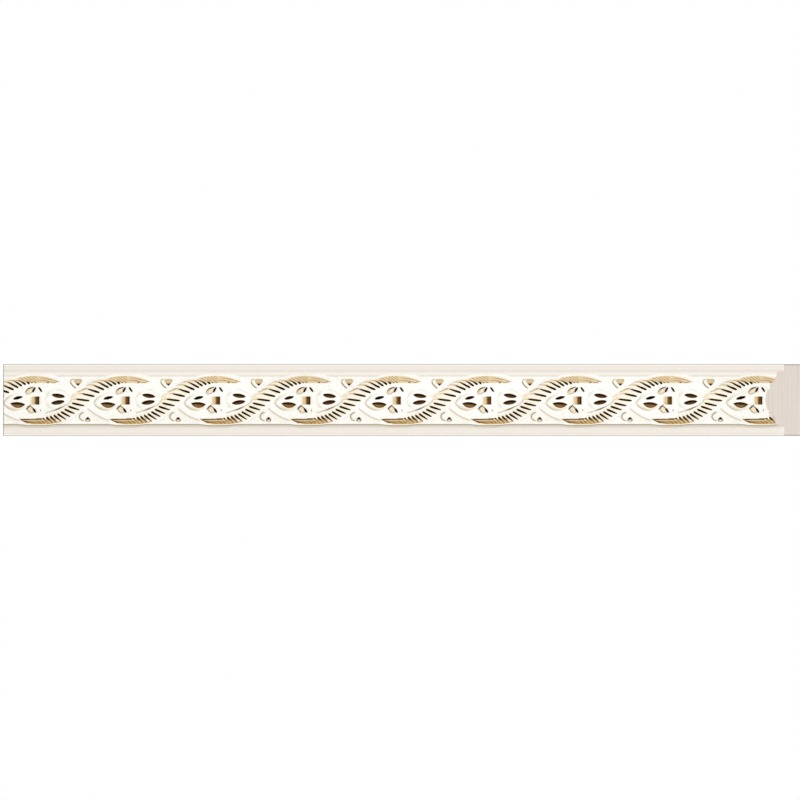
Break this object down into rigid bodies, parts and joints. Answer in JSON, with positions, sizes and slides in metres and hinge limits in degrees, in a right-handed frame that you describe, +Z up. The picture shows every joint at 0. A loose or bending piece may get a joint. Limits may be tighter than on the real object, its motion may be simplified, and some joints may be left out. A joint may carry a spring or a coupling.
{
  "type": "wall moulding",
  "caption": "Straight carved trim with flat borders and a convex interlaced middle, cut square at one end and mitred at the other, to be glued to a wall.",
  "frame": {"origin": "centre of the flat back, on the wall", "axes": "+X along the moulding towards the mitred end, +Y out of the flat back into the wall, +Z up across the width"},
  "size_m": [0.6686, 0.0295, 0.06],
  "materials": {
    "painted_foam": "satin white paint on foamed polystyrene, with a golden brown patina wiped into the carving and the mitred end left bare"
  },
  "bodies": {
    "root": {"moulding": "painted_foam"}
  },
  "joints": []
}
